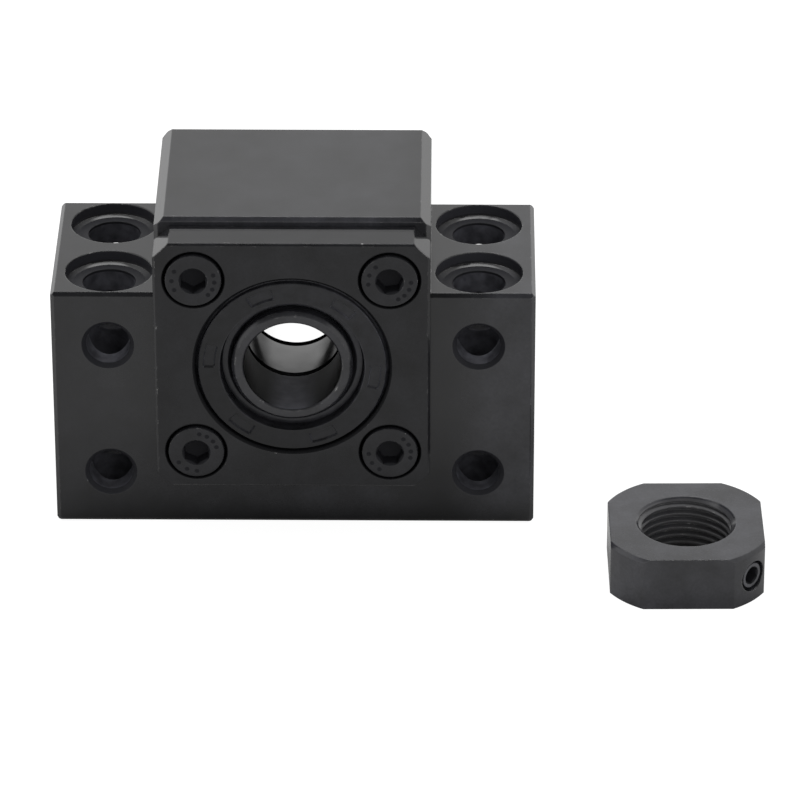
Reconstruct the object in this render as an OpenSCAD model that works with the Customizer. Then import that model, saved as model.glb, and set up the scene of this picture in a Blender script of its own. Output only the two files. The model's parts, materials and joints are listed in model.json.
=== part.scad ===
// Fixed-side end support for a ball screw: a steel housing with a pair of angular
// contact bearings, a bolted holding lid, seals and collars, and the lock nut that
// clamps the inner rings on the screw's journal.
// X runs across the housing, Y along the screw from the lid side (-Y) to the back
// (+Y), and Z up. The origin is the middle of the base face. All sizes are in mm.

/* [Journal] */
// Diameter of the screw's journal, which is the bore of the collars and inner rings
journal_d = 12; // [10:0.5:13]

/* [Housing] */
// Depth of the housing along the screw
housing_d = 25; // [23:0.5:40]
// Height of the screw axis above the base
axis_h = 25; // [22:0.5:40]
// Steel beside the bearing seat, to the side face of the hump
hump_wall = 3; // [2.5:0.25:6]
// Step from the top edge of the lid up to the top of the hump
crown_step = 1; // [0.5:0.25:4]
// Width of each wing, outwards from the hump
wing_w = 13; // [12:0.5:24]
// Height of the wings
wing_h = 32.5; // [28:0.5:36]
// Thickness of the wall behind the rear bearing
rear_wall = 5; // [4.5:0.25:7]
// Chamfer along the two long top edges of the hump
hump_chamfer = 1.25; // [0.5:0.25:2]
// Chamfer along the other outer edges
edge_chamfer = 0.5; // [0.2:0.1:1]

/* [Housing holes] */
// Distance of the mounting holes from the side face of the hump
bolt_inset = 6; // [5.75:0.25:8]
// Spacing of the upright mounting holes along the screw
bolt_spacing_y = 13; // [10:0.5:15]
// Diameter of the upright mounting holes
bolt_hole_d = 6.6; // [4.5:0.1:7]
// Diameter of the bolt head seats on top of the wings
bolt_seat_d = 10.8; // [9:0.1:11.4]
// Depth of the bolt head seats
bolt_seat_depth = 1.5; // [0.5:0.1:4]
// Diameter of the mounting holes that run along the screw
face_hole_d = 5.5; // [4.5:0.1:6.6]
// Height between the lower and the upper holes that run along the screw
face_spacing_z = 18; // [14:0.5:19]
// Chamfer at the mouths of the holes that run along the screw
face_hole_chamfer = 0.5; // [0.1:0.1:0.8]
// Chamfer at the mouths of the bolt head seats and of the lid's counterbores
hole_chamfer = 0.1; // [0.05:0.05:0.3]

/* [Bearings] */
// Outer diameter of each bearing
bearing_od = 28; // [26:0.5:32]
// Width of each bearing
bearing_w = 8; // [7:0.25:8.75]
// Diameter of one ball
ball_d = 4.762; // [3.969:0.001:5.3]
// Balls in each bearing
ball_count = 10; // [6:1:10]
// Height of the ring shoulders above the bottom of the ball groove
shoulder_h = 1.1; // [0.7:0.1:1.4]
// Radial thickness of each cage
cage_t = 1.6; // [1:0.1:2]
// Width of the cage beside its ball pockets
cage_rim = 0.8; // [0.4:0.1:0.9]
// Gap between a ball and the grooves and pocket round it
ball_gap = 0.08; // [0.05:0.01:0.12]

/* [Seals and collars] */
// Radial wall of the collars
collar_wall = 1.5; // [1:0.1:2]
// Distance of the rear collar's end inside the back face of the housing
rear_collar_inset = 1; // [0:0.25:1.5]
// Radial width of each seal, from the collar out to its seat
seal_w = 4.5; // [4:0.1:5]
// Thickness of each seal
seal_t = 4; // [3:0.1:4.25]
// Width of the ledge that each seal seats against
seal_ledge = 1.5; // [0.5:0.1:2]
// Gap between a seal's lip and the collar that turns in it
lip_gap = 0.04; // [0.02:0.01:0.1]
// Chamfer round the mouth of each seal seat
seat_chamfer = 0.3; // [0.1:0.05:0.5]

/* [Holding lid] */
// Thickness of the lid outside the housing
lid_t = 5; // [4.5:0.25:8]
// Cut across each corner of the lid
lid_corner = 2; // [0.5:0.25:3]
// Chamfer along the straight edges of the lid
lid_edge = 0.3; // [0.1:0.05:0.6]
// Gap between the lid's spigot and the bearing seat
spigot_gap = 0.05; // [0.02:0.01:0.1]

/* [Lid screws] */
// Distance of the lid screws outside the bearing seat, on its diagonals
lid_screw_inset = 3; // [2.5:0.1:3.4]
// Thread diameter of the lid screws
lid_screw_d = 4; // [3:0.5:4]
// Length of the lid screws under the head
lid_screw_l = 10; // [8:1:16]
// Diameter of the screw heads
head_d = 7; // [5.5:0.1:7.4]
// Height of the screw heads
head_h = 4; // [3:0.1:4.5]
// How far the heads stand out of the lid
head_proud = 0.3; // [0:0.05:0.6]
// Gap round the heads in their counterbores
head_gap = 0.3; // [0.2:0.05:0.5]
// Gap round the screws in the lid's holes
shank_gap = 0.25; // [0.1:0.05:0.4]
// Width across the flats of the screws' sockets
head_socket = 3; // [2:0.5:3]
// Depth of the screws' sockets
head_socket_depth = 2; // [1:0.1:2.5]

/* [Lock nut] */
// Steel from the thread's outer diameter out to the round corners of the nut
nut_wall = 5; // [4.5:0.25:8]
// Depth of each of the nut's four flats below its round corners
nut_flat_depth = 1.5; // [1:0.1:2]
// Thickness of the nut
nut_t = 7; // [6:0.25:12]
// Pitch of the nut's thread
nut_pitch = 1; // [0.75:0.25:1.5]
// Gap from the housing's side to the loose nut, across the screw
nut_aside = 9.2; // [2:0.1:40]
// Distance of the loose nut's centre in front of the housing
nut_ahead = 11.4; // [-10:0.1:40]
// Turn of the loose nut on the surface it lies on
nut_turn = 0.85; // [-45:0.05:45]

/* [Nut set screw] */
// Thread diameter of the set screw
set_screw_d = 4; // [3:0.5:4.5]
// Length of the set screw
set_screw_l = 4; // [3:0.1:4.2]
// Direction of the set screw from the nut's axis, between two of its flats
set_screw_at = -43; // [-50:1:-40]
// How far the set screw lies inside the nut's round corner
set_screw_inset = 0.3; // [0:0.05:0.5]
// Width across the flats of the set screw's socket
set_socket = 2; // [1.5:0.1:2]
// Depth of the set screw's socket
set_socket_depth = 1.8; // [1:0.1:2.5]
// Gap round the soft set piece in the set screw's hole
set_piece_gap = 0.3; // [0.1:0.05:0.5]

/* [Hidden] */
$fn = 96;

// Overrun that carries a cutter clear of the face it starts from
cut = 1;
black_oxide = [0.20, 0.20, 0.21];
ground_steel = [0.70, 0.70, 0.71];
seal_rubber = [0.16, 0.16, 0.17];
cage_plastic = [0.78, 0.72, 0.58];
brass = [0.78, 0.62, 0.32];

// Places along the screw
front_y = -housing_d / 2;
back_y = housing_d / 2;
lid_face_y = front_y - lid_t;
rear_seat_y = back_y - rear_wall;
front_seat_y = rear_seat_y - 2 * bearing_w;

// Housing
hump_w = bearing_od + 2 * hump_wall;
housing_w = hump_w + 2 * wing_w;
housing_h = axis_h + hump_w / 2 + crown_step;
bolt_x = hump_w / 2 + bolt_inset;

// Bearings
pitch_r = (journal_d + bearing_od) / 4;
groove_r = ball_d / 2 + ball_gap;
inner_shoulder_r = pitch_r - groove_r + shoulder_h;
outer_shoulder_r = pitch_r + groove_r - shoulder_h;
// The side of the outer ring that the balls are put in from has a low shoulder
low_shoulder_r = pitch_r + groove_r - shoulder_h / 4;
ring_edge = 0.3;
inner_ring_edge = 0.5;
cage_w = 2 * (groove_r + cage_rim);

// Seals and collars
collar_r = journal_d / 2 + collar_wall;
// Chamfers of a collar: at the bore's open end, round its outer face, and where its
// bore meets the inner ring's
collar_edge = 0.25;
collar_rim = 0.45;
collar_joint = 0.5;
seal_r = collar_r + seal_w;
seal_edge = 0.35;
ledge_r = seal_r - seal_ledge;

// Lid screws
lid_screw_xz = (bearing_od / 2 + lid_screw_inset) / sqrt(2);
head_edge = 0.35;
tapped_spare = 2;
drill_point = 0.6;

// Lock nut
thread_r = journal_d / 2;
// Depth of the internal thread's profile for one unit of pitch
thread_depth = 0.54;
nut_bore_r = thread_r - thread_depth * nut_pitch;
nut_r = thread_r + nut_wall;
nut_flats = 2 * (nut_r - nut_flat_depth);
// The chamfer that turns the nut's corners down at its outer face
nut_corner_in = 0.35;
nut_corner_down = 0.5;
nut_at = [housing_w / 2 + nut_aside + nut_flats / 2, front_y - nut_ahead, 0];
set_screw_out = nut_r - set_screw_inset;
set_screw_in = set_screw_out - set_screw_l;
set_piece_in = nut_bore_r + 0.04;
set_edge = 0.3;

// ---- Shapes that repeat ----

// Rectangle about the origin with its corners cut off at 45 degrees
module chamfered_rect(w, h, c) {
    x = w / 2;
    y = h / 2;
    polygon([[c - x, -y], [x - c, -y], [x, c - y], [x, y - c],
        [x - c, y], [c - x, y], [-x, y - c], [-x, c - y]]);
}

// Block about the origin, with a chamfer for its edges along each axis
module chamfered_block(size, along_x, along_y, along_z) {
    intersection() {
        linear_extrude(size.z, center = true) chamfered_rect(size.x, size.y, along_z);
        rotate([90, 0, 0]) linear_extrude(size.y, center = true)
            chamfered_rect(size.x, size.z, along_y);
        rotate([90, 0, 90]) linear_extrude(size.x, center = true)
            chamfered_rect(size.y, size.z, along_x);
    }
}

// Turned ring along +Z from z = 0, with a chamfer c on all four of its edges
module turned_ring(inner, outer, length, c) {
    rotate_extrude() polygon([[inner, c], [inner + c, 0], [outer - c, 0], [outer, c],
        [outer, length - c], [outer - c, length], [inner + c, length], [inner, length - c]]);
}

// Turned bar along +Z from z = 0, with a chamfer c at both ends
module turned_bar(r, length, c) {
    rotate_extrude() polygon([[0, 0], [r - c, 0], [r, c], [r, length - c],
        [r - c, length], [0, length]]);
}

// Cutter for a round hole along +Z that starts at z = 0, with a chamfer c at its mouth
module hole(r, depth, c = 0) {
    translate([0, 0, -cut]) cylinder(r = r, h = depth + cut);
    if (c > 0) translate([0, 0, -c]) cylinder(r1 = r + 2 * c, r2 = r, h = 2 * c);
}

// Cutter for a hexagon socket along +Z that starts at z = 0
module hex_socket(across, depth) {
    translate([0, 0, -cut]) cylinder(r = across / 2 / cos(30), h = depth + cut, $fn = 6);
}

// Puts a shape made along +Z on the screw axis at y, pointing to the back
module facing_back(y) {
    translate([0, y, axis_h]) rotate([-90, 0, 0]) children();
}

// Puts a shape made along +Z on the screw axis at y, pointing to the lid side
module facing_front(y) {
    translate([0, y, axis_h]) rotate([90, 0, 0]) children();
}

// Repeats a shape at the four lid screws
module at_lid_screws() {
    for (x = [-1, 1], z = [-1, 1]) translate([x * lid_screw_xz, z * lid_screw_xz, 0]) children();
}

// ---- Housing ----

module housing_block() {
    translate([0, 0, wing_h / 2])
        chamfered_block([housing_w, housing_d, wing_h], edge_chamfer, edge_chamfer, edge_chamfer);
    translate([0, 0, housing_h / 2])
        chamfered_block([hump_w, housing_d, housing_h], edge_chamfer, hump_chamfer, edge_chamfer);
}

module bearing_bore() {
    facing_back(front_y) hole(bearing_od / 2, rear_seat_y - front_y, seat_chamfer);
    facing_back(front_y) hole(ledge_r, housing_d + cut);
    facing_front(back_y) hole(seal_r, seal_t, seat_chamfer);
}

module upright_holes() {
    for (x = [-1, 1], y = [-1, 1])
        translate([x * bolt_x, y * bolt_spacing_y / 2, wing_h]) rotate([180, 0, 0]) {
            hole(bolt_seat_d / 2, bolt_seat_depth, hole_chamfer);
            hole(bolt_hole_d / 2, wing_h + cut);
        }
}

module lengthwise_holes() {
    for (x = [-1, 1], z = [-1, 1])
        translate([x * bolt_x, 0, (wing_h + z * face_spacing_z) / 2]) {
            translate([0, front_y, 0]) rotate([-90, 0, 0])
                hole(face_hole_d / 2, housing_d + cut, face_hole_chamfer);
            translate([0, back_y, 0]) rotate([90, 0, 0])
                hole(face_hole_d / 2, cut, face_hole_chamfer);
        }
}

module tapped_holes() {
    depth = lid_screw_l - (lid_t - head_h + head_proud) + tapped_spare;
    facing_back(front_y) at_lid_screws() {
        hole(lid_screw_d / 2, depth);
        translate([0, 0, depth])
            cylinder(r1 = lid_screw_d / 2, r2 = 0, h = drill_point * lid_screw_d / 2);
    }
}

module housing() {
    color(black_oxide) difference() {
        housing_block();
        bearing_bore();
        upright_holes();
        lengthwise_holes();
        tapped_holes();
    }
}

// ---- Holding lid and its screws ----

module holding_lid() {
    color(black_oxide) difference() {
        union() {
            translate([0, (lid_face_y + front_y) / 2, axis_h])
                chamfered_block([hump_w, lid_t, hump_w], lid_edge, lid_corner, lid_edge);
            facing_back(front_y - lid_edge)
                cylinder(r = bearing_od / 2 - spigot_gap, h = front_seat_y - front_y + lid_edge);
        }
        facing_back(lid_face_y) {
            hole(seal_r, seal_t, seat_chamfer);
            hole(ledge_r, front_seat_y - lid_face_y + cut);
        }
        facing_back(front_y) cylinder(r = seal_r, h = front_seat_y - front_y + cut);
        facing_back(lid_face_y) at_lid_screws() {
            hole(head_d / 2 + head_gap, head_h - head_proud, hole_chamfer);
            hole(lid_screw_d / 2 + shank_gap, lid_t + cut);
        }
    }
}

module cap_screw() {
    difference() {
        union() {
            turned_bar(head_d / 2, head_h, head_edge);
            translate([0, 0, head_h - head_edge])
                turned_bar(lid_screw_d / 2, lid_screw_l + head_edge, head_edge);
        }
        hex_socket(head_socket, head_socket_depth);
    }
}

module lid_screws() {
    color(black_oxide) facing_back(lid_face_y - head_proud) at_lid_screws() cap_screw();
}

// ---- Seals and collars ----

// Section of a seal from its outer face (y = 0) inwards: a band that presses into the
// seat, and a lip on a sunk web that bears on the collar
module seal_section() {
    band_in = collar_r + seal_w * 0.31;
    lip_root = collar_r + seal_w * 0.09;
    lip = collar_r + lip_gap;
    web_z = seal_t * 0.33;
    lip_z = seal_t * 0.5;
    web_back = seal_t * 0.62;
    polygon([[band_in, 0], [seal_r - seal_edge, 0], [seal_r, seal_edge], [seal_r, seal_t],
        [band_in, seal_t], [band_in, web_back], [lip_root + seal_w * 0.1, web_back],
        [lip, lip_z + lip_gap], [lip, lip_z - lip_gap], [lip_root, web_z], [band_in, web_z]]);
}

module seal() {
    color(seal_rubber) rotate_extrude() seal_section();
}

module front_seal() {
    facing_back(lid_face_y) seal();
}

module rear_seal() {
    facing_front(back_y) seal();
}

// Collar along +Z from its open face (z = 0) to the end that meets the inner ring
module collar(length) {
    bore_r = journal_d / 2;
    color(black_oxide) rotate_extrude() polygon([[bore_r, collar_edge],
        [bore_r + collar_edge, 0], [collar_r - collar_rim, 0], [collar_r, collar_rim],
        [collar_r, length - collar_edge], [collar_r - collar_edge, length],
        [bore_r + collar_joint, length], [bore_r, length - collar_joint]]);
}

module front_collar() {
    facing_back(lid_face_y) collar(front_seat_y - lid_face_y);
}

module rear_collar() {
    facing_front(back_y - rear_collar_inset) collar(rear_wall - rear_collar_inset);
}

// ---- Bearings ----
// Each is made along +Z from its outer face (z = 0) to the face that meets the other
// bearing (z = bearing_w), where the outer ring has its low shoulder

module ball_groove() {
    translate([0, 0, bearing_w / 2]) rotate_extrude() translate([pitch_r, 0]) circle(r = groove_r);
}

module outer_ring() {
    color(ground_steel) difference() {
        turned_ring(outer_shoulder_r, bearing_od / 2, bearing_w, ring_edge);
        ball_groove();
        translate([0, 0, bearing_w / 2]) cylinder(r = low_shoulder_r, h = bearing_w);
    }
}

module inner_ring() {
    color(ground_steel) difference() {
        turned_ring(journal_d / 2, inner_shoulder_r, bearing_w, inner_ring_edge);
        ball_groove();
    }
}

// Repeats a shape at each ball of a bearing, with the first one turned by phase
module at_balls(phase) {
    for (i = [0 : ball_count - 1])
        rotate([0, 0, phase + i * 360 / ball_count]) translate([pitch_r, 0, bearing_w / 2])
            children();
}

module cage(phase) {
    color(cage_plastic) difference() {
        translate([0, 0, (bearing_w - cage_w) / 2])
            turned_ring(pitch_r - cage_t / 2, pitch_r + cage_t / 2, cage_w, 0.2);
        at_balls(phase) rotate([0, 90, 0]) cylinder(r = groove_r, h = 2 * cage_t, center = true);
    }
}

module balls(phase) {
    color(ground_steel) at_balls(phase) sphere(d = ball_d, $fn = 48);
}

rear_phase = 180 / ball_count;

module front_outer_ring() { facing_back(front_seat_y) outer_ring(); }
module front_inner_ring() { facing_back(front_seat_y) inner_ring(); }
module front_cage() { facing_back(front_seat_y) cage(0); }
module front_balls() { facing_back(front_seat_y) balls(0); }
module rear_outer_ring() { facing_front(rear_seat_y) outer_ring(); }
module rear_inner_ring() { facing_front(rear_seat_y) inner_ring(); }
module rear_cage() { facing_front(rear_seat_y) cage(rear_phase); }
module rear_balls() { facing_front(rear_seat_y) balls(rear_phase); }

// ---- Lock nut with its set screw ----

// Puts a shape made along +Z, outwards from the nut's axis, on the set screw's line
module on_set_line() {
    translate(nut_at + [0, 0, nut_t / 2]) rotate([0, 90, nut_turn + set_screw_at]) children();
}

module nut_blank() {
    intersection() {
        rotate_extrude() polygon([[0, 0], [nut_r, 0], [nut_r, nut_t - nut_corner_down],
            [nut_r - nut_corner_in, nut_t], [0, nut_t]]);
        linear_extrude(nut_t) square(nut_flats, center = true);
    }
}

module lock_nut() {
    mouth = thread_r - nut_bore_r;
    color(black_oxide) difference() {
        translate(nut_at) rotate([0, 0, nut_turn]) difference() {
            nut_blank();
            hole(nut_bore_r, nut_t + cut, mouth);
            translate([0, 0, nut_t]) rotate([180, 0, 0]) hole(nut_bore_r, cut, mouth);
        }
        on_set_line() cylinder(r = set_screw_d / 2, h = nut_r + cut);
    }
}

module set_screw() {
    color(black_oxide) on_set_line() difference() {
        translate([0, 0, set_screw_in]) turned_bar(set_screw_d / 2, set_screw_l, set_edge);
        translate([0, 0, set_screw_out]) rotate([180, 0, 0])
            hex_socket(set_socket, set_socket_depth);
    }
}

module set_piece() {
    color(brass) on_set_line() translate([0, 0, set_piece_in])
        cylinder(r = set_screw_d / 2 - set_piece_gap, h = set_screw_in - set_piece_in);
}

housing();
holding_lid();
lid_screws();
front_seal();
rear_seal();
front_collar();
rear_collar();
front_outer_ring();
front_inner_ring();
front_cage();
front_balls();
rear_outer_ring();
rear_inner_ring();
rear_cage();
rear_balls();
lock_nut();
set_screw();
set_piece();
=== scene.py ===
"""Looks of the ball screw end support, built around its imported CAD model.

Every visible CAD node gets a procedural finish. The lip seals, the lid screws, the lock
nut and its set screw are made again here with their moulded, knurled and threaded detail.
Shapes and shading are worked out in millimetres and scaled to metres at the end.
"""

import json
import math

import bmesh
import bpy
from mathutils import Matrix, Vector


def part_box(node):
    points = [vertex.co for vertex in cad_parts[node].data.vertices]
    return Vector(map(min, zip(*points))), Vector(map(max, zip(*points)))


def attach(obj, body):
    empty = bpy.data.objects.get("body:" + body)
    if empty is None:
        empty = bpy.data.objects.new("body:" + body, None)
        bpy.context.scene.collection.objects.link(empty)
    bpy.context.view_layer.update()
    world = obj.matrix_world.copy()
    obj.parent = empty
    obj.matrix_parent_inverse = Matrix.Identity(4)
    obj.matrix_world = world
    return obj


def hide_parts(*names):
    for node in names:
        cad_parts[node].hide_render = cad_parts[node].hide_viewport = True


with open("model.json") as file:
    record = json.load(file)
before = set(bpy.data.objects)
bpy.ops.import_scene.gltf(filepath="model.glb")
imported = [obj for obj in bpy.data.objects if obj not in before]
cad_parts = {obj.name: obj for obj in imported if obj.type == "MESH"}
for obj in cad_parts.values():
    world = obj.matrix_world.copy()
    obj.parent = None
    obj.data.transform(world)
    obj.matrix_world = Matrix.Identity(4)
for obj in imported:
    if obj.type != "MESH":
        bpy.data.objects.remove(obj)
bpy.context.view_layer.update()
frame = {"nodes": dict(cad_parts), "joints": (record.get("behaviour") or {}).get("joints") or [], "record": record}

MM = 0.001
nodes = frame["nodes"]
mounts = {mount["name"]: mount for mount in frame["record"]["mounts"]}


def box_mm(node):
    """The lowest and highest corner of a CAD node, in millimetres."""
    low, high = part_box(node)
    return low / MM, high / MM


# ---- Sizes from the frame, in millimetres ----

housing_low, housing_high = box_mm("housing")
lid_low, lid_high = box_mm("holding_lid")
seal_low, seal_high = box_mm("front_seal")
screws_low, screws_high = box_mm("lid_screws")
nut_low, nut_high = box_mm("lock_nut")
axis = Vector(frame["joints"][0]["pos_m"]) / MM
bolt_x = mounts["base_bolts"]["dims"]["spacing_x_mm"] / 2
bolt_y = mounts["base_bolts"]["dims"]["spacing_y_mm"] / 2
face_bolt_z = mounts["face_bolts"]["pos_m"][2] / MM
face_bolt_rise = mounts["face_bolts"]["dims"]["spacing_y_mm"] / 2
face_bolt_r = mounts["face_bolts"]["dims"]["hole_r_mm"]
bore_r = mounts["shaft_bore"]["dims"]["r_mm"]
nut_centre = Vector(mounts["nut_thread"]["pos_m"]) / MM
nut_height = nut_high.z - nut_low.z

# ---- Sizes of the fine shapes, in millimetres ----

# Seats of the upright holes, sunk in the wings, and mouths of the lengthwise holes
wing_h = 32.5
bolt_seat_r = 5.4
bolt_seat_depth = 1.5
seat_floor_z = wing_h - bolt_seat_depth
seat_fillet_w = 0.9
face_bolt_mouth = 0.5

# Lid screws (M4) and their counterbores
screw_head_r = 3.5
screw_head_h = 4
screw_out = (screws_high.x - screws_low.x) / 2 - screw_head_r
screw_major = 2
screw_pitch = 0.7
socket_across = 3
socket_depth = 2
dot_circle_r = 2.62
counterbore_gap = 0.42

# Seals and the step round them
seal_r = (seal_high.x - seal_low.x) / 2
seal_t = seal_high.y - seal_low.y
seal_pocket_depth = 0.3
seal_step = 0.33
lip_r = 7.54

# Lock nut (M12 x 1) and its set screw (M4)
nut_turn = math.radians(0.85)
nut_flats = 19
nut_r = 11
nut_corner_in = 0.35
nut_corner_down = 0.5
nut_mouth_r = 6.2
nut_foot_r = 5.5
thread_major = 6
thread_pitch = 1
set_screw_at = math.radians(-43)
set_screw_out = 10.7
set_screw_in = 6.7
set_socket_across = 2
set_socket_depth = 1.8

# Relief of the marks that a cutter or a grinder leaves
mark_depth = 0.0006


# ---- Camera ----


def add_camera():
    """The photograph's view, seen by a long lens."""
    azimuth = math.radians(0.624)
    elevation = math.radians(28.961)
    roll = math.radians(0.063)
    target = Vector((13.225, -12.5, 17.643)) * MM
    distance = 728.272 * MM
    back = Vector((
        math.sin(azimuth) * math.cos(elevation),
        -math.cos(azimuth) * math.cos(elevation),
        math.sin(elevation),
    ))
    data = bpy.data.cameras.new("photo_camera")
    data.sensor_width = 36
    data.lens = 263.15
    data.clip_start = 0.05
    data.clip_end = 20
    camera = bpy.data.objects.new("photo_camera", data)
    bpy.context.scene.collection.objects.link(camera)
    facing = back.to_track_quat("Z", "Y").to_matrix()
    rolled = facing @ Matrix.Rotation(-roll, 3, "Z")
    camera.matrix_world = Matrix.Translation(target + back * distance) @ rolled.to_4x4()
    bpy.context.scene.camera = camera


# ---- Node trees ----


class Graph:
    """A node tree with short calls for the nodes that repeat."""

    def __init__(self, owner):
        owner.use_nodes = True
        self.tree = owner.node_tree
        self.tree.nodes.clear()

    def add(self, kind, inputs=None, **settings):
        """Adds a shader node; an input is a value or the socket that feeds it."""
        node = self.tree.nodes.new("ShaderNode" + kind)
        for name, value in settings.items():
            setattr(node, name, value)
        for name, value in (inputs or {}).items():
            if isinstance(value, bpy.types.NodeSocket):
                self.tree.links.new(value, node.inputs[name])
            else:
                node.inputs[name].default_value = value
        return node

    def math(self, operation, first, second=0.0, third=0.0):
        values = {0: first, 1: second, 2: third}
        return self.add("Math", values, operation=operation).outputs[0]

    def vector(self, operation, first, second=(0, 0, 0)):
        node = self.add("VectorMath", {0: first, 1: second}, operation=operation)
        scalar = operation in ("LENGTH", "DOT_PRODUCT")
        return node.outputs["Value" if scalar else "Vector"]

    def split(self, vector):
        return self.add("SeparateXYZ", {0: vector}).outputs

    def join(self, x, y, z):
        return self.add("CombineXYZ", {0: x, 1: y, 2: z}).outputs[0]

    def noise(self, where, scale, detail=2.0, roughness=0.5):
        inputs = {"Vector": where, "Scale": scale, "Detail": detail, "Roughness": roughness}
        return self.add("TexNoise", inputs).outputs["Fac"]

    def line_noise(self, along, scale, detail=2.0, roughness=0.5):
        """Noise that changes along one value only."""
        inputs = {"W": along, "Scale": scale, "Detail": detail, "Roughness": roughness}
        return self.add("TexNoise", inputs, noise_dimensions="1D").outputs["Fac"]

    def remap(self, value, low, high, to_low=0.0, to_high=1.0, smooth=False):
        inputs = {"Value": value, 1: low, 2: high, 3: to_low, 4: to_high}
        kind = "SMOOTHSTEP" if smooth else "LINEAR"
        return self.add("MapRange", inputs, interpolation_type=kind).outputs[0]

    def mix(self, factor, first, second):
        """Mixes two numbers."""
        return self.add("Mix", {0: factor, 2: first, 3: second}).outputs[0]

    def mix_colour(self, factor, first, second):
        inputs = {0: factor, 6: first, 7: second}
        return self.add("Mix", inputs, data_type="RGBA").outputs[2]

    def place(self):
        """The place on the piece at rest, in millimetres."""
        where = self.add("TexCoord").outputs["Object"]
        return self.vector("MULTIPLY", where, (1 / MM,) * 3)

    def facing(self, side):
        """How far the face looks along X, Y or Z: side is 0, 1 or 2."""
        return self.split(self.add("NewGeometry").outputs["True Normal"])[side]

    def relief(self, height, depth, **more):
        """The normal over a relief of that depth, in millimetres."""
        inputs = {"Height": height, "Strength": 1.0, "Distance": depth * MM, **more}
        return self.add("Bump", inputs).outputs[0]

    def surface(self, inputs):
        """Ends a material's tree with that principled shader."""
        shader = self.add("BsdfPrincipled", inputs).outputs[0]
        self.add("OutputMaterial", {"Surface": shader})


def grey(level):
    return (level, level, level, 1.0)


COOL = (0.96, 0.97, 1.12)
STEEL = (0.62, 0.61, 0.60)


# ---- Materials ----


def around_screw(graph, place):
    """Distance from the screw's axis."""
    x, y, z = graph.split(place)
    return graph.vector("LENGTH", graph.join(x, 0.0, graph.math("SUBTRACT", z, axis.z)))


def around_own_axis(graph, place):
    """Distance from the piece's own upright axis."""
    x, y, z = graph.split(place)
    return graph.vector("LENGTH", graph.join(x, y, 0.0))


def around_nut(graph, place):
    """Distance from the lock nut's axis."""
    return around_own_axis(graph, graph.vector("SUBTRACT", place, tuple(nut_centre)))


def ground_lines(graph, place):
    """Fine lines left by a surface grinder: front to back on most faces, across on the
    faces that look along the screw."""
    drawn_out = 0.02
    x, y, z = graph.split(place)
    facing_y = graph.math("ABSOLUTE", graph.facing(1))
    lengthwise = graph.join(x, graph.math("MULTIPLY", y, drawn_out), z)
    lengthwise = graph.noise(lengthwise, 5.0, 3.0, 0.7)
    across = graph.join(graph.math("MULTIPLY", x, drawn_out), y, z)
    across = graph.noise(across, 5.0, 3.0, 0.7)
    return graph.mix(graph.math("GREATER_THAN", facing_y, 0.7), lengthwise, across)


def turned_lines(distance_from):
    """Rings left by a lathe, around the axis that distance_from measures from."""

    def lines(graph, place):
        return graph.line_noise(distance_from(graph, place), 9.0, 3.0, 0.7)

    return lines


def below(graph, value, limit):
    """1 where the value is lower than the limit."""
    return graph.math("LESS_THAN", value, limit)


def beside_bolt(graph, place):
    """The place seen from the nearest upright hole's axis."""
    x, y, z = graph.split(place)
    across = graph.math("MULTIPLY", graph.math("SIGN", x), bolt_x)
    along = graph.math("MULTIPLY", graph.math("SIGN", y), bolt_y)
    return graph.vector("SUBTRACT", place, graph.join(across, along, z))


def on_seat_floor(graph, place):
    """1 on the sunk floors of the bolt seats."""
    height = graph.split(place)[2]
    sunk = graph.math("COMPARE", height, seat_floor_z, 0.3)
    inside = below(graph, graph.vector("LENGTH", beside_bolt(graph, place)), bolt_seat_r)
    return graph.math("MULTIPLY", sunk, inside)


def housing_lines(graph, place):
    """Grinding lines, with the end mill's rings on the floors of the bolt seats."""
    from_bolt = graph.vector("LENGTH", beside_bolt(graph, place))
    rings = graph.line_noise(from_bolt, 4.0, 2.0, 0.6)
    return graph.mix(on_seat_floor(graph, place), ground_lines(graph, place), rings)


def hole_tone(graph, place):
    """Dark seat walls and mouths, and a lighter drilled wall further in."""
    seat_wall = 0.035
    seat_floor = 0.018
    mouth = 0.02
    x, y, z = graph.split(place)
    in_seat = graph.math("GREATER_THAN", z, seat_floor_z - 0.05)
    at_mouth = graph.math("GREATER_THAN", graph.math("ABSOLUTE", y),
                          housing_high.y - face_bolt_mouth)
    drilled = graph.remap(graph.noise(place, 0.7, 3.0), 0.35, 0.65, 0.05, 0.1)
    tone = graph.mix(in_seat, drilled, seat_wall)
    tone = graph.mix(on_seat_floor(graph, place), tone, seat_floor)
    return graph.mix(at_mouth, tone, mouth)


def housing_holes(graph, place):
    """1 on the walls of the drilled holes and of the bolt seats, less on their floors and
    least on the fillet behind them."""
    matt_floor = 0.92
    x, y, z = graph.split(place)
    beside_x = graph.math("SUBTRACT", graph.math("ABSOLUTE", x), bolt_x)
    rise = graph.math("ABSOLUTE", graph.math("SUBTRACT", z, face_bolt_z))
    beside_z = graph.math("SUBTRACT", rise, face_bolt_rise)
    beside = beside_bolt(graph, place)
    from_bolt = graph.vector("LENGTH", beside)
    from_face_bolt = graph.vector("LENGTH", graph.join(beside_x, beside_z, 0.0))
    wall = below(graph, graph.math("ABSOLUTE", graph.facing(2)), 0.5)
    seat = graph.math("MULTIPLY", below(graph, from_bolt, bolt_seat_r + 0.15), wall)
    drilled = below(graph, from_face_bolt, face_bolt_r + face_bolt_mouth + 0.02)
    flat = below(graph, from_bolt, bolt_seat_r - seat_fillet_w)
    behind = graph.math("DIVIDE", graph.split(beside)[1], from_bolt)
    share = graph.mix(flat, graph.remap(behind, 0.2, 0.8, matt_floor, 0.0), matt_floor)
    floor = graph.math("MULTIPLY", on_seat_floor(graph, place), share)
    return graph.math("MAXIMUM", graph.math("MAXIMUM", seat, drilled), floor)


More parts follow.
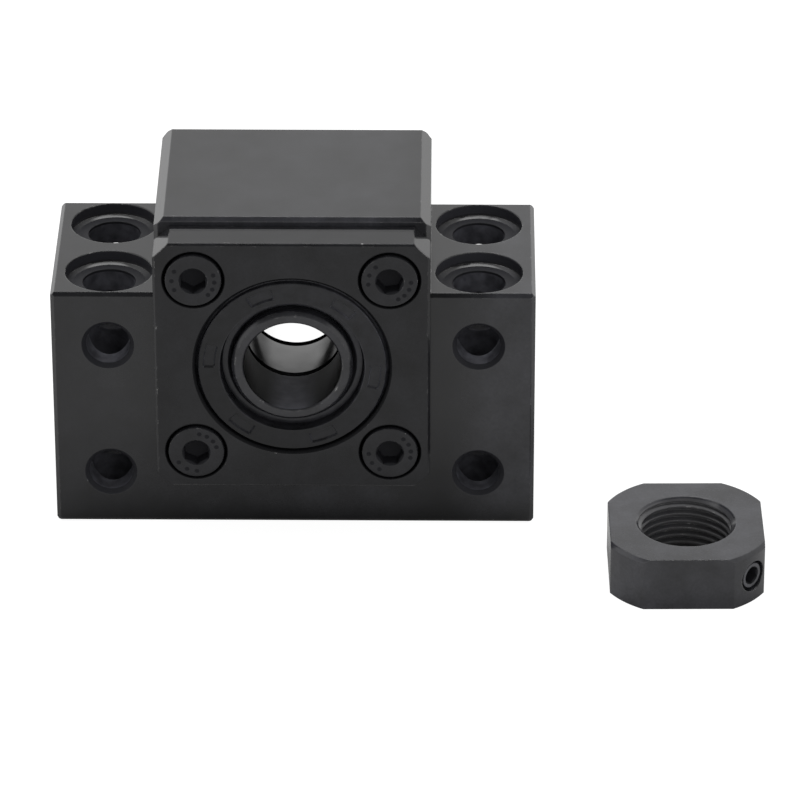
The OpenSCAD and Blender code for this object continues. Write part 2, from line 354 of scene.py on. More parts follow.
def seat_fillet(graph, place, rounded):
    """The surface normal, turned where the cutter left a fillet at the foot of a seat."""
    beside = beside_bolt(graph, place)
    away = graph.vector("LENGTH", beside)
    uneven = graph.remap(graph.noise(place, 0.3, 2.0), 0.35, 0.65, 0.88, 1.15)
    tilt = graph.remap(away, bolt_seat_r - seat_fillet_w, bolt_seat_r - 0.05, 0.28, 0.54)
    tilt = graph.math("MULTIPLY", tilt, uneven)
    outwards = graph.vector("NORMALIZE", beside)
    lean = graph.math("MULTIPLY", graph.math("SINE", tilt), -1.0)
    sideways = graph.vector("MULTIPLY", outwards, graph.join(lean, lean, 0.0))
    turned_up = graph.vector("ADD", sideways, graph.join(0.0, 0.0, graph.math("COSINE", tilt)))
    share = graph.math("MULTIPLY", on_seat_floor(graph, place),
                       graph.math("GREATER_THAN", away, bolt_seat_r - seat_fillet_w))
    inputs = {0: share, 4: rounded, 5: turned_up}
    return graph.add("Mix", inputs, data_type="VECTOR").outputs[1]


def lid_recesses(graph, place):
    """1 in the seal's seat and in the counterbores of the lid screws."""
    x, y, z = graph.split(place)
    rise = graph.math("SUBTRACT", z, axis.z)
    beside_x = graph.math("SUBTRACT", graph.math("ABSOLUTE", x), screw_out)
    beside_z = graph.math("SUBTRACT", graph.math("ABSOLUTE", rise), screw_out)
    from_screw = graph.vector("LENGTH", graph.join(beside_x, beside_z, 0.0))
    counterbore = below(graph, from_screw, screw_head_r + counterbore_gap)
    seat = below(graph, around_screw(graph, place), seal_r + seal_step)
    return graph.math("MAXIMUM", counterbore, seat)


def collar_bore_painted_reflection(graph, place):
    """Painted reflection in the collar's bore: a light band through its middle, near x = 0, darkening up its
    sides, with random streaks.
    """
    beside = graph.math("ABSOLUTE", graph.split(place)[0])
    streaks = graph.remap(graph.noise(place, 0.8, 3.0), 0.3, 0.7, 0.8, 1.2)
    # painted reflection: light in the middle of the bore, dark up its sides
    bared_and_painted_reflection = graph.remap(beside, 0.8, 3.6, 0.08, 0.001, smooth=True)
    return graph.math("MULTIPLY", bared_and_painted_reflection, streaks)


def collar_bore(graph, place):
    """1 on the wall of the bore and on the chamfer at its inner end."""
    chamfer = 0.55
    y = graph.split(place)[1]
    limit = graph.remap(y, seal_low.y + 0.5, seal_low.y + 1, bore_r + 0.05, bore_r + chamfer)
    return below(graph, around_screw(graph, place), limit)


def head_recesses(graph, place):
    """1 in a screw's socket and in the marks on its head."""
    inside = below(graph, around_own_axis(graph, place), screw_head_r - 0.4)
    sunk = below(graph, graph.split(place)[2], -0.03)
    return graph.math("MULTIPLY", inside, sunk)


def worn_edges(graph, place, rounded):
    """1 at the few places where handling has worn an edge bright, 0 on the faces and on edges that look down."""
    normal = graph.add("NewGeometry").outputs["Normal"]
    bend = graph.math("SUBTRACT", 1.0, graph.vector("DOT_PRODUCT", rounded, normal))
    patches = graph.noise(place, 0.9, 3.0, 0.6)
    limit = graph.remap(patches, 0.5, 0.72, 0.3, 0.02)
    worn = graph.remap(bend, limit, graph.math("MULTIPLY", limit, 2.2), smooth=True)
    open_side = graph.math("GREATER_THAN", graph.split(rounded)[2], -0.04)
    return graph.math("MULTIPLY", worn, open_side)


def black_oxide(name, lines, base=0.009, roughness=0.09, sheen=0.5, edge=0.22, matt=None,
                matt_tone=lambda graph, place: 0.014, painted_light=None, bared_and_painted_reflection=None, shape=None):
    """Blackened steel: a dark glossy skin over machined lines, worn bright at edges of that radius. matt() is 1
    where a drill or a cutter left it rough, with matt_tone() there. painted_light() scales its tone with painted
    light and shade, bared_and_painted_reflection() bares its steel and shape() turns its normal."""
    matt_roughness = 0.5
    matt_shine = 0.12
    material = bpy.data.materials.new(name)
    graph = Graph(material)
    place = graph.place()
    rounded = graph.add("Bevel", {"Radius": edge * MM}, samples=4).outputs[0]
    marks = lines(graph, place)
    clouds = graph.noise(place, 0.22, 4.0, 0.6)
    specks = graph.noise(place, 3.0, 3.0, 0.6)
    worn = graph.math("MULTIPLY", worn_edges(graph, place, rounded), 0.5)
    if bared_and_painted_reflection:
        worn = graph.math("MAXIMUM", worn, bared_and_painted_reflection(graph, place))
    if shape:
        rounded = shape(graph, place, rounded)
    tone = graph.remap(clouds, 0.3, 0.7, base * 0.6, base * 1.5)
    tone = graph.math("MULTIPLY", tone, graph.remap(specks, 0.3, 0.7, 0.85, 1.15))
    gloss = graph.remap(clouds, 0.3, 0.7, roughness * 0.8, roughness * 1.25)
    gloss = graph.math("ADD", gloss, graph.remap(marks, 0.3, 0.7, -0.015, 0.015))
    shine = sheen
    # painted light and shade scale the tone here
    if painted_light:
        tone = graph.math("MULTIPLY", tone, painted_light(graph, place))
    if matt:
        rough = matt(graph, place)
        worn = graph.math("MULTIPLY", worn, graph.math("SUBTRACT", 1.0, rough))
        tone = graph.mix(rough, tone, matt_tone(graph, place))
        gloss = graph.mix(rough, gloss, matt_roughness)
        shine = graph.mix(rough, shine, matt_shine)
    skin = graph.vector("MULTIPLY", graph.join(tone, tone, tone), COOL)
    colour = graph.mix_colour(worn, skin, (*STEEL, 1.0))
    height = graph.math("ADD", marks, graph.math("MULTIPLY", specks, 0.5))
    graph.surface({
        "Base Color": colour,
        "Metallic": worn,
        "Roughness": gloss,
        "IOR": 1.45,
        "Specular IOR Level": shine,
        "Normal": graph.relief(height, mark_depth, Normal=rounded),
    })
    return material


def polished_band(graph, place):
    """1 on the part of the rear ring's bore that the journal has polished."""
    y = graph.split(place)[1]
    low, high = box_mm("rear_inner_ring")
    start = graph.math("GREATER_THAN", y, low.y + 0.4)
    return graph.math("MULTIPLY", start, below(graph, y, high.y - 2.4))


def bore_painted_shade(graph, place):
    """Painted shade on the inner rings' bores: darker up their sides and towards the front."""
    x, y, z = graph.split(place)
    low, high = box_mm("front_inner_ring")
    # painted shade: darker up the sides of the bore
    sides = graph.remap(graph.math("ABSOLUTE", x), 2.6, 4.4, 1.0, 0.4, smooth=True)
    # painted shade: darker towards the front
    front = graph.remap(y, low.y, high.y, 0.6, 1.0)
    return graph.math("MULTIPLY", sides, front)


def bright_steel(name, lines, colour, roughness, polished=None, painted_shade=None, grazing=1.0):
    """Bare metal, ground or turned. polished() is 1 where it shines like a mirror, painted_shade() scales its tone
    with painted shade and grazing dims what it mirrors edge on."""
    mirror_tone = 0.96
    mirror_roughness = 0.04
    material = bpy.data.materials.new(name)
    graph = Graph(material)
    place = graph.place()
    marks = lines(graph, place)
    stains = graph.noise(place, 0.5, 4.0, 0.6)
    tone = graph.remap(stains, 0.3, 0.75, 1.0, 0.9)
    gloss = graph.remap(stains, 0.3, 0.7, roughness * 0.8, roughness * 1.25)
    # painted shade scales the tone here
    if painted_shade:
        tone = graph.math("MULTIPLY", tone, painted_shade(graph, place))
    if polished:
        shine = polished(graph, place)
        tone = graph.mix(shine, graph.math("MULTIPLY", tone, colour), mirror_tone)
        gloss = graph.mix(shine, gloss, mirror_roughness)
        colour = 1.0
    if not isinstance(colour, tuple):
        colour = (colour,) * 3
    graph.surface({
        "Base Color": graph.vector("MULTIPLY", graph.join(tone, tone, tone), colour),
        "Metallic": 1.0,
        "Roughness": gloss,
        "Specular Tint": grey(grazing),
        "Normal": graph.relief(marks, mark_depth),
    })
    return material


def seal_rubber():
    """Black nitrile rubber with a fine moulded grain and a little dust. Its tone carries painted light: lighter
    towards one side and towards the top, lighter deeper in where shade falls in the sunk web, and a painted
    lightening on the pockets' upright walls."""
    material = bpy.data.materials.new("nitrile_rubber")
    graph = Graph(material)
    place = graph.place()
    grain = graph.noise(place, 9.0, 3.0, 0.6)
    dust = graph.noise(place, 0.7, 5.0, 0.65)
    x, y, z = graph.split(place)
    depth = graph.math("SUBTRACT", y, seal_low.y)
    tone = graph.remap(dust, 0.35, 0.75, 0.007, 0.017)
    # painted light: lighter towards one side
    tone = graph.math("MULTIPLY", tone, graph.remap(x, seal_low.x, seal_high.x, 0.7, 1.3))
    # painted light: darker towards the bottom, lighter towards the top
    tone = graph.math("MULTIPLY", tone, graph.remap(z, seal_low.z, seal_high.z, 0.55, 1.1))
    # painted light: lighter deeper in, where shade falls in the sunk web
    tone = graph.math("MULTIPLY", tone, graph.remap(depth, 0.1, 0.8, 1.0, 2.6))
    # painted light on the pockets' upright walls, which face sideways
    upright = graph.math("ABSOLUTE", graph.facing(0))
    on_wall = graph.math("COMPARE", depth, seal_pocket_depth / 2, seal_pocket_depth * 0.46)
    painted_wall_light = graph.remap(graph.math("MULTIPLY", upright, on_wall), 0.1, 0.9, 1.0, 5.0)
    tone = graph.math("MULTIPLY", tone, painted_wall_light)
    graph.surface({
        "Base Color": graph.vector("MULTIPLY", graph.join(tone, tone, tone), COOL),
        "Roughness": graph.remap(dust, 0.3, 0.7, 0.26, 0.36),
        "IOR": 1.5,
        "Specular IOR Level": 0.28,
        "Normal": graph.relief(grain, 0.006),
    })
    return material


def cage_resin():
    """Glass-filled nylon, off-white and slightly waxy."""
    material = bpy.data.materials.new("filled_nylon")
    graph = Graph(material)
    place = graph.place()
    fibres = graph.noise(place, 4.0, 5.0, 0.7)
    resin = (0.50, 0.44, 0.32, 1.0)
    glass = (0.66, 0.60, 0.46, 1.0)
    graph.surface({
        "Base Color": graph.mix_colour(fibres, resin, glass),
        "Roughness": graph.remap(fibres, 0.3, 0.7, 0.38, 0.52),
        "Subsurface Weight": 0.1,
        "Normal": graph.relief(fibres, 0.01),
    })
    return material


def dress_cad_nodes(materials):
    """Gives each CAD node that stays in view its own finish."""
    finishes = {
        "housing": "housing",
        "holding_lid": "lid",
        "front_collar": "collar",
        "rear_collar": "collar",
        "front_outer_ring": "ring",
        "rear_outer_ring": "ring",
        "front_inner_ring": "inner_ring",
        "rear_inner_ring": "inner_ring",
        "front_balls": "ball",
        "rear_balls": "ball",
        "front_cage": "cage",
        "rear_cage": "cage",
        "set_piece": "brass",
    }
    for node, finish in finishes.items():
        for slot in nodes[node].material_slots:
            slot.material = materials[finish]


def housing_painted_light(graph, place):
    """Painted light and shade on the housing: lighter towards one end and on the front faces above the lid's top,
    darker at its foot and beside the lid's right side."""
    x, y, z = graph.split(place)
    # painted light: lighter towards the +X end
    along = graph.remap(x, housing_low.x, housing_high.x, 0.8, 2.5)
    # painted shade: darker at the foot of the housing
    foot = graph.remap(z, 0.0, 5.0, 0.3, 1.0, smooth=True)
    # painted light: lighter on the front faces above the lid's top
    edge = graph.math("MULTIPLY", graph.math("GREATER_THAN", z, lid_high.z - 1),
                      below(graph, graph.facing(1), -0.5))
    above = graph.remap(edge, 0.0, 1.0, 1.0, 1.9)
    # painted shade: darker beside the lid's right side
    from_lid = graph.math("ABSOLUTE", graph.math("SUBTRACT", x, lid_high.x + 1))
    beside = graph.remap(from_lid, 0.0, 8.0, 0.25, 1.0, smooth=True)
    tone = graph.math("MULTIPLY", graph.math("MULTIPLY", along, foot), above)
    return graph.math("MULTIPLY", tone, beside)


def nut_painted_light(graph, place):
    """Painted light on the nut: its turned top lighter than its sides, and its left side lighter too."""
    # painted light: the top and the left side lighter
    top = graph.math("GREATER_THAN", graph.facing(2), 0.95)
    left = graph.remap(graph.split(place)[0], nut_low.x, nut_centre.x - 2, 1.8, 1.0)
    return graph.mix(top, left, 1.4)


def nut_threads(graph, place):
    """How bare the tap left the nut's thread."""
    bareness = 0.045
    inside = below(graph, around_nut(graph, place), thread_major)
    return graph.math("MULTIPLY", inside, bareness)


def make_materials():
    screw_rings = turned_lines(around_screw)
    own_rings = turned_lines(around_own_axis)
    return {
        "housing": black_oxide("black_oxide_housing", housing_lines, roughness=0.12,
                               matt=housing_holes, matt_tone=hole_tone,
                               painted_light=housing_painted_light, shape=seat_fillet),
        "lid": black_oxide("black_oxide_lid", ground_lines, sheen=0.33, edge=0.3,
                           matt=lid_recesses, matt_tone=lambda graph, place: 0.006),
        "collar": black_oxide("black_oxide_collar", screw_rings, base=0.02, edge=0.4,
                              roughness=0.16, matt=collar_bore,
                              matt_tone=collar_bore_painted_reflection),
        "screw": black_oxide("black_oxide_screw", own_rings, base=0.012, roughness=0.2,
                             sheen=0.33, matt=head_recesses),
        "set_screw": black_oxide("black_oxide_set_screw", own_rings, base=0.05,
                                 roughness=0.16, matt=head_recesses),
        "nut": black_oxide("black_oxide_nut", turned_lines(around_nut), base=0.024,
                           roughness=0.16, painted_light=nut_painted_light, bared_and_painted_reflection=nut_threads),
        "ring": bright_steel("ground_steel", screw_rings, STEEL, 0.2),
        "inner_ring": bright_steel("ground_steel_bore", screw_rings, 0.185, 0.17,
                                   polished_band, bore_painted_shade, grazing=0.6),
        "ball": bright_steel("polished_balls", screw_rings, 0.75, 0.04),
        "brass": bright_steel("brass", turned_lines(around_nut), (0.78, 0.57, 0.26), 0.3),
        "cage": cage_resin(),
        "rubber": seal_rubber(),
    }


# ---- Mesh tools, in millimetres about the local Z axis ----


def turned(profile, segments, closed=True, shift=None):
    """A section of (radius, height) points turned about Z. shift(index, angle) may move a
    point's height."""
    bm = bmesh.new()
    rings = []
    for index, (radius, height) in enumerate(profile):
        ring = []
        for step in range(segments):
            angle = 2 * math.pi * step / segments
            lift = shift(index, angle) if shift else 0
            ring.append(bm.verts.new((
                radius * math.cos(angle), radius * math.sin(angle), height + lift)))
        rings.append(ring)
    pairs = list(zip(rings, rings[1:]))
    if closed:
        pairs.append((rings[-1], rings[0]))
    for near, far in pairs:
        for step in range(segments):
            after = (step + 1) % segments
            bm.faces.new((near[step], near[after], far[after], far[step]))
    if not closed:
        bm.faces.new(rings[0])
        bm.faces.new(rings[-1])
    bmesh.ops.recalc_face_normals(bm, faces=bm.faces)
    return bm


def thread_radius(share, major, minor):
    """Radius of a 60 degree thread at a share of its pitch: crest, flank, root, flank."""
    crest_end = 1 / 8
    root_start = 7 / 16
    root_end = 11 / 16
    if share < crest_end:
        return major
    if share < root_start:
        return major + (minor - major) * (share - crest_end) / (root_start - crest_end)
    if share < root_end:
        return minor
    return minor + (major - minor) * (share - root_end) / (1 - root_end)


def threaded_bar(major, pitch, start, end, tip=0.0, segments=72):
    """A closed bar with a real helical thread from start to end; tip is the chamfer that
    ends it."""
    thread_depth = 0.5413
    minor = major - thread_depth * pitch
    shares = [0, 1 / 16, 1 / 8, 9 / 32, 7 / 16, 9 / 16, 11 / 16, 27 / 32]
    turns = math.ceil((end - start) / pitch) + 2
    bm = bmesh.new()
    columns = []
    for step in range(segments):
        angle = 2 * math.pi * step / segments
        column = []
        for row in range(turns * len(shares)):
            along = row // len(shares) - 1 + shares[row % len(shares)] + step / segments
            height = min(max(start + pitch * along, start), end)
            share = ((height - start) / pitch - step / segments) % 1
            radius = thread_radius(share, major, minor)
            if tip:
                radius = min(radius, major - tip + min(height - start, end - height))
            column.append(bm.verts.new((
                radius * math.cos(angle), radius * math.sin(angle), height)))
        columns.append(column)
    for step, column in enumerate(columns):
        beside = columns[step + 1] if step + 1 < segments else columns[0][len(shares):]
        for row in range(min(len(column), len(beside)) - 1):
            bm.faces.new((column[row], beside[row], beside[row + 1], column[row + 1]))
    bmesh.ops.remove_doubles(bm, verts=bm.verts, dist=1e-4)
    loose = [vert for vert in bm.verts if not vert.link_faces]
    bmesh.ops.delete(bm, geom=loose, context="VERTS")
    open_edges = [edge for edge in bm.edges if edge.is_boundary]
    bmesh.ops.holes_fill(bm, edges=open_edges)
    bmesh.ops.recalc_face_normals(bm, faces=bm.faces)
    return bm


def prism(sides, across, low, high, point=0.0):
    """A regular prism with that distance across its flats; point sinks the middle of its
    low end into a cone."""
    bm = bmesh.new()
    corner = across / 2 / math.cos(math.pi / sides)
    rings = []
    for height in (low, high):
        ring = []
        for step in range(sides):
            angle = 2 * math.pi * step / sides
            ring.append(bm.verts.new((
                corner * math.cos(angle), corner * math.sin(angle), height)))
        rings.append(ring)
    for step in range(sides):
        after = (step + 1) % sides
        bm.faces.new((rings[0][step], rings[0][after], rings[1][after], rings[1][step]))
    bm.faces.new(rings[1])
    tip = bm.verts.new((0, 0, low - point))
    for step in range(sides):
        bm.faces.new((rings[0][step], rings[0][(step + 1) % sides], tip))
    bmesh.ops.recalc_face_normals(bm, faces=bm.faces)
    return bm


def cone(low_r, high_r, low, high, segments=72):
    return turned([(low_r, low), (high_r, high)], segments, closed=False)


def moved(bm, matrix):
    bmesh.ops.transform(bm, matrix=matrix, verts=bm.verts)
    return bm


def joined(*parts):
    """One mesh that holds several closed shells."""
    whole = bmesh.new()
    for bm in parts:
        mesh = bpy.data.meshes.new("part")
        bm.to_mesh(mesh)
        bm.free()
        whole.from_mesh(mesh)
        bpy.data.meshes.remove(mesh)
    return whole


def scratch_object(bm, name):
    mesh = bpy.data.meshes.new(name)
    bm.to_mesh(mesh)
    bm.free()
    made = bpy.data.objects.new(name, mesh)
    bpy.context.scene.collection.objects.link(made)
    return made


def carved(bm, *cutters):
    """The solid with each cutter taken out of it."""
    body = scratch_object(bm, "scratch_body")
    tools = [scratch_object(cutter, "scratch_cutter") for cutter in cutters]
    for tool in tools:
        cut = body.modifiers.new("cut", "BOOLEAN")
        cut.operation = "DIFFERENCE"
        cut.solver = "EXACT"
        cut.object = tool
    bpy.context.view_layer.update()
    seen = body.evaluated_get(bpy.context.evaluated_depsgraph_get())
    result = bmesh.new()
    result.from_mesh(seen.to_mesh())
    seen.to_mesh_clear()
    for scratch in (body, *tools):
        mesh = scratch.data
        bpy.data.objects.remove(scratch)
        bpy.data.meshes.remove(mesh)
    bmesh.ops.remove_doubles(result, verts=result.verts, dist=1e-5)
    return result


def softened(bm, width, angle=25):
    """Rounds the edges that are sharper than the angle, in degrees."""
    sharp = [edge for edge in bm.edges
             if edge.is_manifold and edge.calc_face_angle() > math.radians(angle)]
    bmesh.ops.bevel(bm, geom=sharp, offset=width, segments=2, profile=0.5,
                    affect="EDGES", clamp_overlap=True)
    return bm


def weighted_normals(bm, angle=35):
    """A normal for each face corner: the faces round it that bend less than the angle,
    by their areas, so that large flat faces stay flat."""
    limit = math.cos(math.radians(angle))
    bm.normal_update()
    bm.faces.index_update()
    areas = [face.calc_area() for face in bm.faces]
    normals = []
    for face in bm.faces:
        for corner in face.loops:
            total = Vector()
            for near in corner.vert.link_faces:
                if near.normal.dot(face.normal) > limit:
                    total += near.normal * areas[near.index]
            normals.append(total.normalized() if total.length else face.normal.copy())
    return normals


def finished_mesh(name, bm, material):
    """A shaded mesh in metres from one in millimetres."""
    normals = weighted_normals(bm)
    bmesh.ops.transform(bm, matrix=Matrix.Scale(MM, 4), verts=bm.verts)
    mesh = bpy.data.meshes.new(name)
    bm.to_mesh(mesh)
    bm.free()
    mesh.shade_smooth()
    mesh.normals_split_custom_set(normals)
    mesh.materials.append(material)
    return mesh


def placed(name, mesh, matrix, body, stands_for):
    """Adds a piece that rides a body and stands in for a CAD node."""
    made = bpy.data.objects.new(name, mesh)
    bpy.context.scene.collection.objects.link(made)
    made.matrix_world = matrix
    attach(made, body)
    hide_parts(stands_for)


def piece(name, bm, body, material, stands_for):
    """Adds a piece whose mesh, in millimetres, is already in its place."""
    placed(name, finished_mesh(name, bm, material), Matrix(), body, stands_for)


def along_screw(y, towards_back):
    """Puts a shape made along +Z on the screw's axis at y, in millimetres."""
    turn = Matrix.Rotation(math.radians(-90 if towards_back else 90), 4, "X")
    return Matrix.Translation((axis.x, y, axis.z)) @ turn


# ---- Seals ----


def seal_mesh(first_pocket):
    """A radial lip seal seen from its outer face: a moulded band with six pockets, and
    the lip on a sunk web."""
    band_in = 8.9
    pocket_in = 9.7
    pocket_out = 10.85
    pocket_edge = 0.16
    pocket_half_angle = math.radians(8.5)
    pocket_pitch = math.radians(60)
    profile = [
        (seal_r, seal_t), (seal_r, 1.0), (seal_r - 0.2, 0.9), (seal_r - 0.38, 0.8),
        (seal_r - 0.42, 0.1), (seal_r - 0.5, 0.0),
        (pocket_out + pocket_edge, 0.0), (pocket_out, 0.0), (pocket_in, 0.0),
        (pocket_in - pocket_edge, 0.0), (band_in + 0.2, 0.0), (band_in + 0.05, 0.06),
        (band_in, 0.2), (band_in, 1.45), (band_in - 0.1, 1.6), (band_in - 0.2, 1.45),
        (band_in - 0.26, 1.32), (8.3, 1.28), (8.0, 1.3), (7.9, 1.36), (7.66, 1.8),
        (lip_r, 1.97), (lip_r, 2.04), (7.75, 2.2), (8.36, 2.48), (band_in, 2.48),
        (band_in, seal_t),
    ]
    sunk = (7, 8)

    def pocket(index, angle):
        if index not in sunk:
            return 0
        off = (angle - first_pocket + pocket_pitch / 2) % pocket_pitch - pocket_pitch / 2
        return seal_pocket_depth if abs(off) < pocket_half_angle else 0

    return turned(profile, 360, shift=pocket)


def add_seals(rubber):
    first_pocket = math.radians(51.5)
    front = moved(seal_mesh(-first_pocket), along_screw(seal_low.y, True))
    piece("front_lip_seal", front, "root", rubber, "front_seal")
    rear_y = box_mm("rear_seal")[1].y
    rear = moved(seal_mesh(first_pocket), along_screw(rear_y, False))
    piece("rear_lip_seal", rear, "root", rubber, "rear_seal")


# ---- Lid screws ----


def screw_head():
    """A cap screw's head with its face at z = 0 and a straight knurl round its side."""
    teeth = 40
    steps = 4
    segments = teeth * steps
    groove = 0.09
    edge = 0.35
    profile = [
        (screw_head_r - edge, 0.0, 0), (screw_head_r - edge * 0.25, 0.1, 0),
        (screw_head_r, edge, 0), (screw_head_r, edge + 0.12, 0),
        (screw_head_r, edge + 0.3, 1), (screw_head_r, screw_head_h - 0.5, 1),
        (screw_head_r - 0.02, screw_head_h - 0.3, 0),
        (screw_head_r - 0.2, screw_head_h, 0),
    ]
    bm = bmesh.new()
    rings = []
    for radius, depth, knurled in profile:
        ring = []
        for step in range(segments):
            angle = 2 * math.pi * step / segments
            tooth = abs(step % steps - steps / 2) / (steps / 2)
            reach = radius - groove * tooth * knurled
            ring.append(bm.verts.new((
                reach * math.cos(angle), reach * math.sin(angle), -depth)))
        rings.append(ring)
    for near, far in zip(rings, rings[1:]):
        for step in range(segments):
            after = (step + 1) % segments
            bm.faces.new((near[step], near[after], far[after], far[step]))
    bm.faces.new(rings[0])
    bm.faces.new(rings[-1])
    bmesh.ops.recalc_face_normals(bm, faces=bm.faces)
    return bm


def socket_cutters(across, depth):
    """The hexagon of a socket with a drilled point, and the bevel round its mouth."""
    over = 0.4
    sunk = 0.45
    mouth = across / 2 / math.cos(math.pi / 6) + 0.06
    hexagon = prism(6, across, -depth, over, point=across * 0.14)
    bevel = cone(mouth - sunk, mouth + over, -sunk, over)
    return hexagon, bevel


def head_dimples():
    """Plain punched dots, three on one side of the socket and four on the other, in
    place of a stamped head mark."""
    out = Matrix.Translation((dot_circle_r, 0, 0))
    dots = []
    for angle in (120, 150, 178, -12, -34, -56, -76):
        turn = Matrix.Rotation(math.radians(angle), 4, "Z")
        dots.append(moved(cone(0.14, 0.43, -0.13, 0.06, 16), turn @ out))
    return joined(*dots)


def lid_screw_mesh():
    """A whole cap screw: its head, and its shank that reaches a little into the head."""
    head = carved(screw_head(), *socket_cutters(socket_across, socket_depth),
                  head_dimples())
    end = screws_low.y - screws_high.y
    in_head = 0.2
    shank = threaded_bar(screw_major, screw_pitch, end, in_head - screw_head_h, tip=0.4,
                         segments=48)
    return joined(head, shank)


def add_lid_screws(steel):
    """Four cap screws, each turned to where its thread came tight."""
    turns = {(-1, 1): 30, (1, 1): 10, (-1, -1): 93, (1, -1): 62}
    mesh = finished_mesh("lid_screw", lid_screw_mesh(), steel)
    for number, ((side, level), turn) in enumerate(turns.items(), 1):
        at = Vector((
            axis.x + side * screw_out, screws_low.y, axis.z + level * screw_out)) * MM
        matrix = (Matrix.Translation(at) @ Matrix.Rotation(math.radians(90), 4, "X")
                  @ Matrix.Rotation(math.radians(turn), 4, "Z"))
        placed(f"lid_screw_{number}", mesh, matrix, "root", "lid_screws")


# ---- Lock nut and its set screw ----


def nut_outline(radius, arc_steps=10):
    """A square with its corners turned off to a radius, anticlockwise."""
    half = nut_flats / 2
    start = math.acos(min(half / radius, 1))
    points = []
    for corner in range(4):
        for step in range(arc_steps + 1):
            share = step / arc_steps
            angle = corner * math.pi / 2 + start + share * (math.pi / 2 - 2 * start)
            points.append((radius * math.cos(angle), radius * math.sin(angle)))
    return points


def nut_blank():
    """The nut's outside, its corners turned round and chamfered at the top."""
    broken_edge = 0.06
    steps = 4
    levels = [(0, nut_r)]
    for step in range(steps + 1):
        share = 1 - step / steps
        levels.append((nut_height - nut_corner_down * share,
                       nut_r - nut_corner_in * (1 - share)))
    bm = bmesh.new()
    rings = [[bm.verts.new((x, y, height)) for x, y in nut_outline(radius)]
             for height, radius in levels]
    for near, far in zip(rings, rings[1:]):
        for step in range(len(near)):
            after = (step + 1) % len(near)
            bm.faces.new((near[step], near[after], far[after], far[step]))
    bm.faces.new(rings[0])
    bm.faces.new(rings[-1])
    bmesh.ops.recalc_face_normals(bm, faces=bm.faces)
    return softened(bm, broken_edge)


def set_line():
    """Puts a shape made along +Z on the set screw's line, outwards from the nut's axis."""
    return (Matrix.Translation((0, 0, nut_height / 2))
            @ Matrix.Rotation(set_screw_at, 4, "Z")
            @ Matrix.Rotation(math.radians(90), 4, "Y"))


def nut_place():
    at = Vector((nut_centre.x, nut_centre.y, nut_low.z))
    return Matrix.Translation(at) @ Matrix.Rotation(nut_turn, 4, "Z")


def add_lock_nut(steel):
    """The nut with its tapped thread, the chamfers at both ends of it and the cross hole
    with its chamfered mouth."""
    over = 1.0
    past_root = 0.55
    rise = nut_mouth_r - thread_major + past_root
    top = nut_height
    tap = threaded_bar(thread_major, thread_pitch, -over, top + over, segments=120)
    upper = cone(nut_mouth_r - rise, nut_mouth_r + over, top - rise, top + over, 120)
    lower = cone(nut_foot_r + over, nut_foot_r - rise, -over, rise, 120)
    hole = moved(cone(screw_major, screw_major, 0, nut_r + over), set_line())
    mouth_end = screw_major + 0.65
    mouth_out = nut_r + 0.55
    mouth_run = mouth_end - (screw_major - 0.55)
    mouth = cone(mouth_end - mouth_run, mouth_end, mouth_out - mouth_run, mouth_out)
    bm = carved(nut_blank(), tap, upper, lower, hole, moved(mouth, set_line()))
    piece("threaded_lock_nut", moved(bm, nut_place()), "root", steel, "lock_nut")


def add_set_screw(steel):
    bar = threaded_bar(screw_major, screw_pitch, set_screw_in - set_screw_out, 0, tip=0.42,
                       segments=64)
    bm = carved(bar, *socket_cutters(set_socket_across, set_socket_depth))
    out = Matrix.Translation((0, 0, set_screw_out))
    matrix = Matrix.Scale(MM, 4) @ nut_place() @ set_line() @ out @ Matrix.Scale(1 / MM, 4)
    mesh = finished_mesh("socket_set_screw", bm, steel)
    placed("socket_set_screw", mesh, matrix, "root", "set_screw")


# ---- Stage and light ----


def add_floor():
    """A white sheet. The camera sees it white with the object's faint shadow, gloss sees it white with painted
    shade close to the object, and the object is lit by a plain one."""
    reach = 350 * MM
    clear_of_base = 0.02 * MM
    shade_reach = 30 * MM
    bm = bmesh.new()
    bmesh.ops.create_grid(bm, x_segments=1, y_segments=1, size=reach)
    mesh = bpy.data.meshes.new("floor")
    bm.to_mesh(mesh)
    bm.free()
    floor = bpy.data.objects.new("floor", mesh)
    floor.location.z = -clear_of_base
    bpy.context.scene.collection.objects.link(floor)
    material = bpy.data.materials.new("white_floor")
    graph = Graph(material)
    path = graph.add("LightPath").outputs
    paper = graph.add("BsdfDiffuse", {"Color": grey(0.6)}).outputs[0]
    shade = graph.add("BsdfDiffuse", {"Color": grey(0.25)}).outputs[0]
    glow = graph.add("Emission", {"Color": grey(1.0), "Strength": 0.93}).outputs[0]
    bright = graph.add("AddShader", {0: shade, 1: glow}).outputs[0]
    # painted shade: what gloss sees of the floor darkens by ambient occlusion near the object
    open_sky = graph.add("AmbientOcclusion", {"Distance": shade_reach}, samples=8).outputs["AO"]
    mirrored = graph.math("MULTIPLY", graph.math("POWER", open_sky, 1.5), 0.95)
    image = graph.add("Emission", {"Color": grey(1.0), "Strength": mirrored}).outputs[0]
    seen = graph.math("MAXIMUM", path["Is Camera Ray"], path["Is Transmission Ray"])
    lit = graph.add("MixShader", {0: path["Is Glossy Ray"], 1: paper, 2: image}).outputs[0]
    both = graph.add("MixShader", {0: seen, 1: lit, 2: bright}).outputs[0]
    graph.add("OutputMaterial", {"Surface": both})
    mesh.materials.append(material)


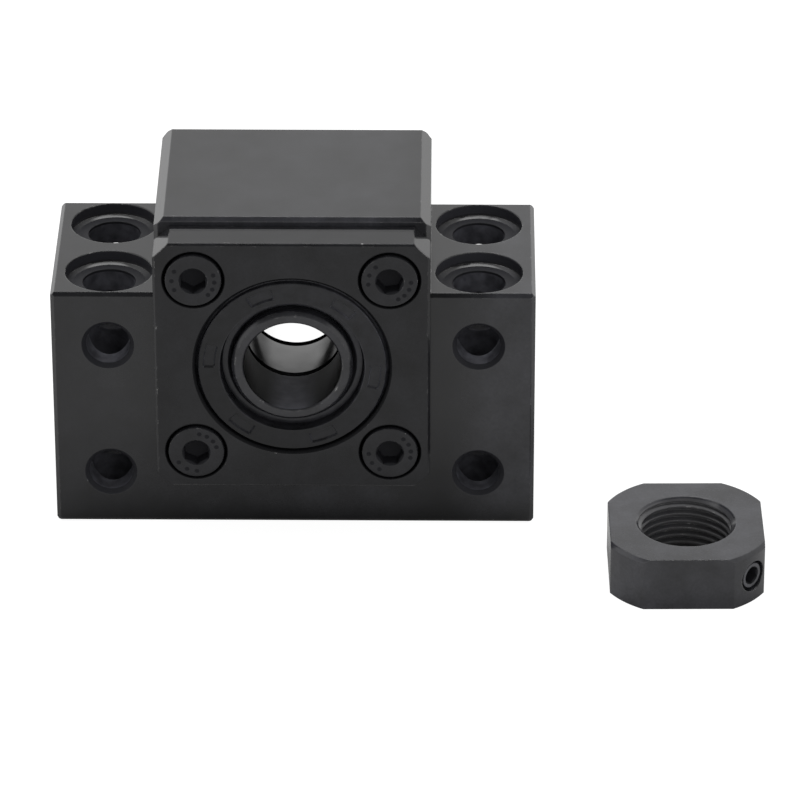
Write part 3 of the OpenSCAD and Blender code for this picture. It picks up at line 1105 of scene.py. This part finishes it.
def add_world():
    """White all round for the camera. Gloss sees white walls, a strong lamp overhead and
    a dark ceiling in front of it. Everything else sees a plain level."""
    plain_level = 0.45
    ceiling_level = 0.16
    lamp_level = 4.0
    lamp_height = math.radians(68)
    lamp_edge = math.cos(math.radians(20))
    lamp_core = math.cos(math.radians(10))
    world = bpy.data.worlds.new("studio")
    bpy.context.scene.world = world
    graph = Graph(world)
    towards = graph.add("TexCoord").outputs["Generated"]
    x, y, z = graph.split(towards)

    walls = graph.remap(z, 0.05, 0.4, 1.12, 1.15)
    left = graph.remap(x, -0.2, -0.7, 0.0, 0.2, smooth=True)
    front = graph.remap(y, -0.1, -0.35, smooth=True)
    high = graph.remap(z, 0.44, 0.62, smooth=True)
    overhead = graph.math("MULTIPLY", front, high)
    ceiling = graph.remap(overhead, 0.0, 1.0, 1.0, ceiling_level)
    lamp_at = (0, math.cos(lamp_height), math.sin(lamp_height))
    lamp = graph.vector("DOT_PRODUCT", towards, lamp_at)
    lamp = graph.remap(lamp, lamp_edge, lamp_core, 0.0, lamp_level, smooth=True)
    studio = graph.math("MULTIPLY", graph.math("ADD", walls, left), ceiling)
    studio = graph.math("ADD", studio, lamp)
    path = graph.add("LightPath").outputs
    gloss = graph.math("MAXIMUM", path["Is Glossy Ray"], path["Is Transmission Ray"])
    level = graph.mix(gloss, plain_level, studio)
    level = graph.mix(path["Is Camera Ray"], level, 1.0)
    sky = graph.add("Background", {"Color": grey(1.0), "Strength": level}).outputs[0]
    graph.add("OutputWorld", {"Surface": sky})


def add_light(name, at, size, watts):
    """A square lamp at a place in metres that looks at the origin and isn't mirrored."""
    data = bpy.data.lights.new(name, "AREA")
    data.size = size
    data.energy = watts
    light = bpy.data.objects.new(name, data)
    light.location = at
    light.rotation_mode = "QUATERNION"
    light.rotation_quaternion = Vector(at).to_track_quat("Z", "Y")
    light.visible_glossy = False
    bpy.context.scene.collection.objects.link(light)


bpy.context.scene.view_settings.view_transform = "Standard"
add_camera()
add_world()
add_floor()
add_light("top_light", at=(-0.1, 0.15, 0.9), size=0.7, watts=4.5)
add_light("front_light", at=(0.35, -0.8, 0.4), size=0.6, watts=2.2)
materials = make_materials()
dress_cad_nodes(materials)
add_seals(materials["rubber"])
add_lid_screws(materials["screw"])
add_lock_nut(materials["nut"])
add_set_screw(materials["set_screw"])
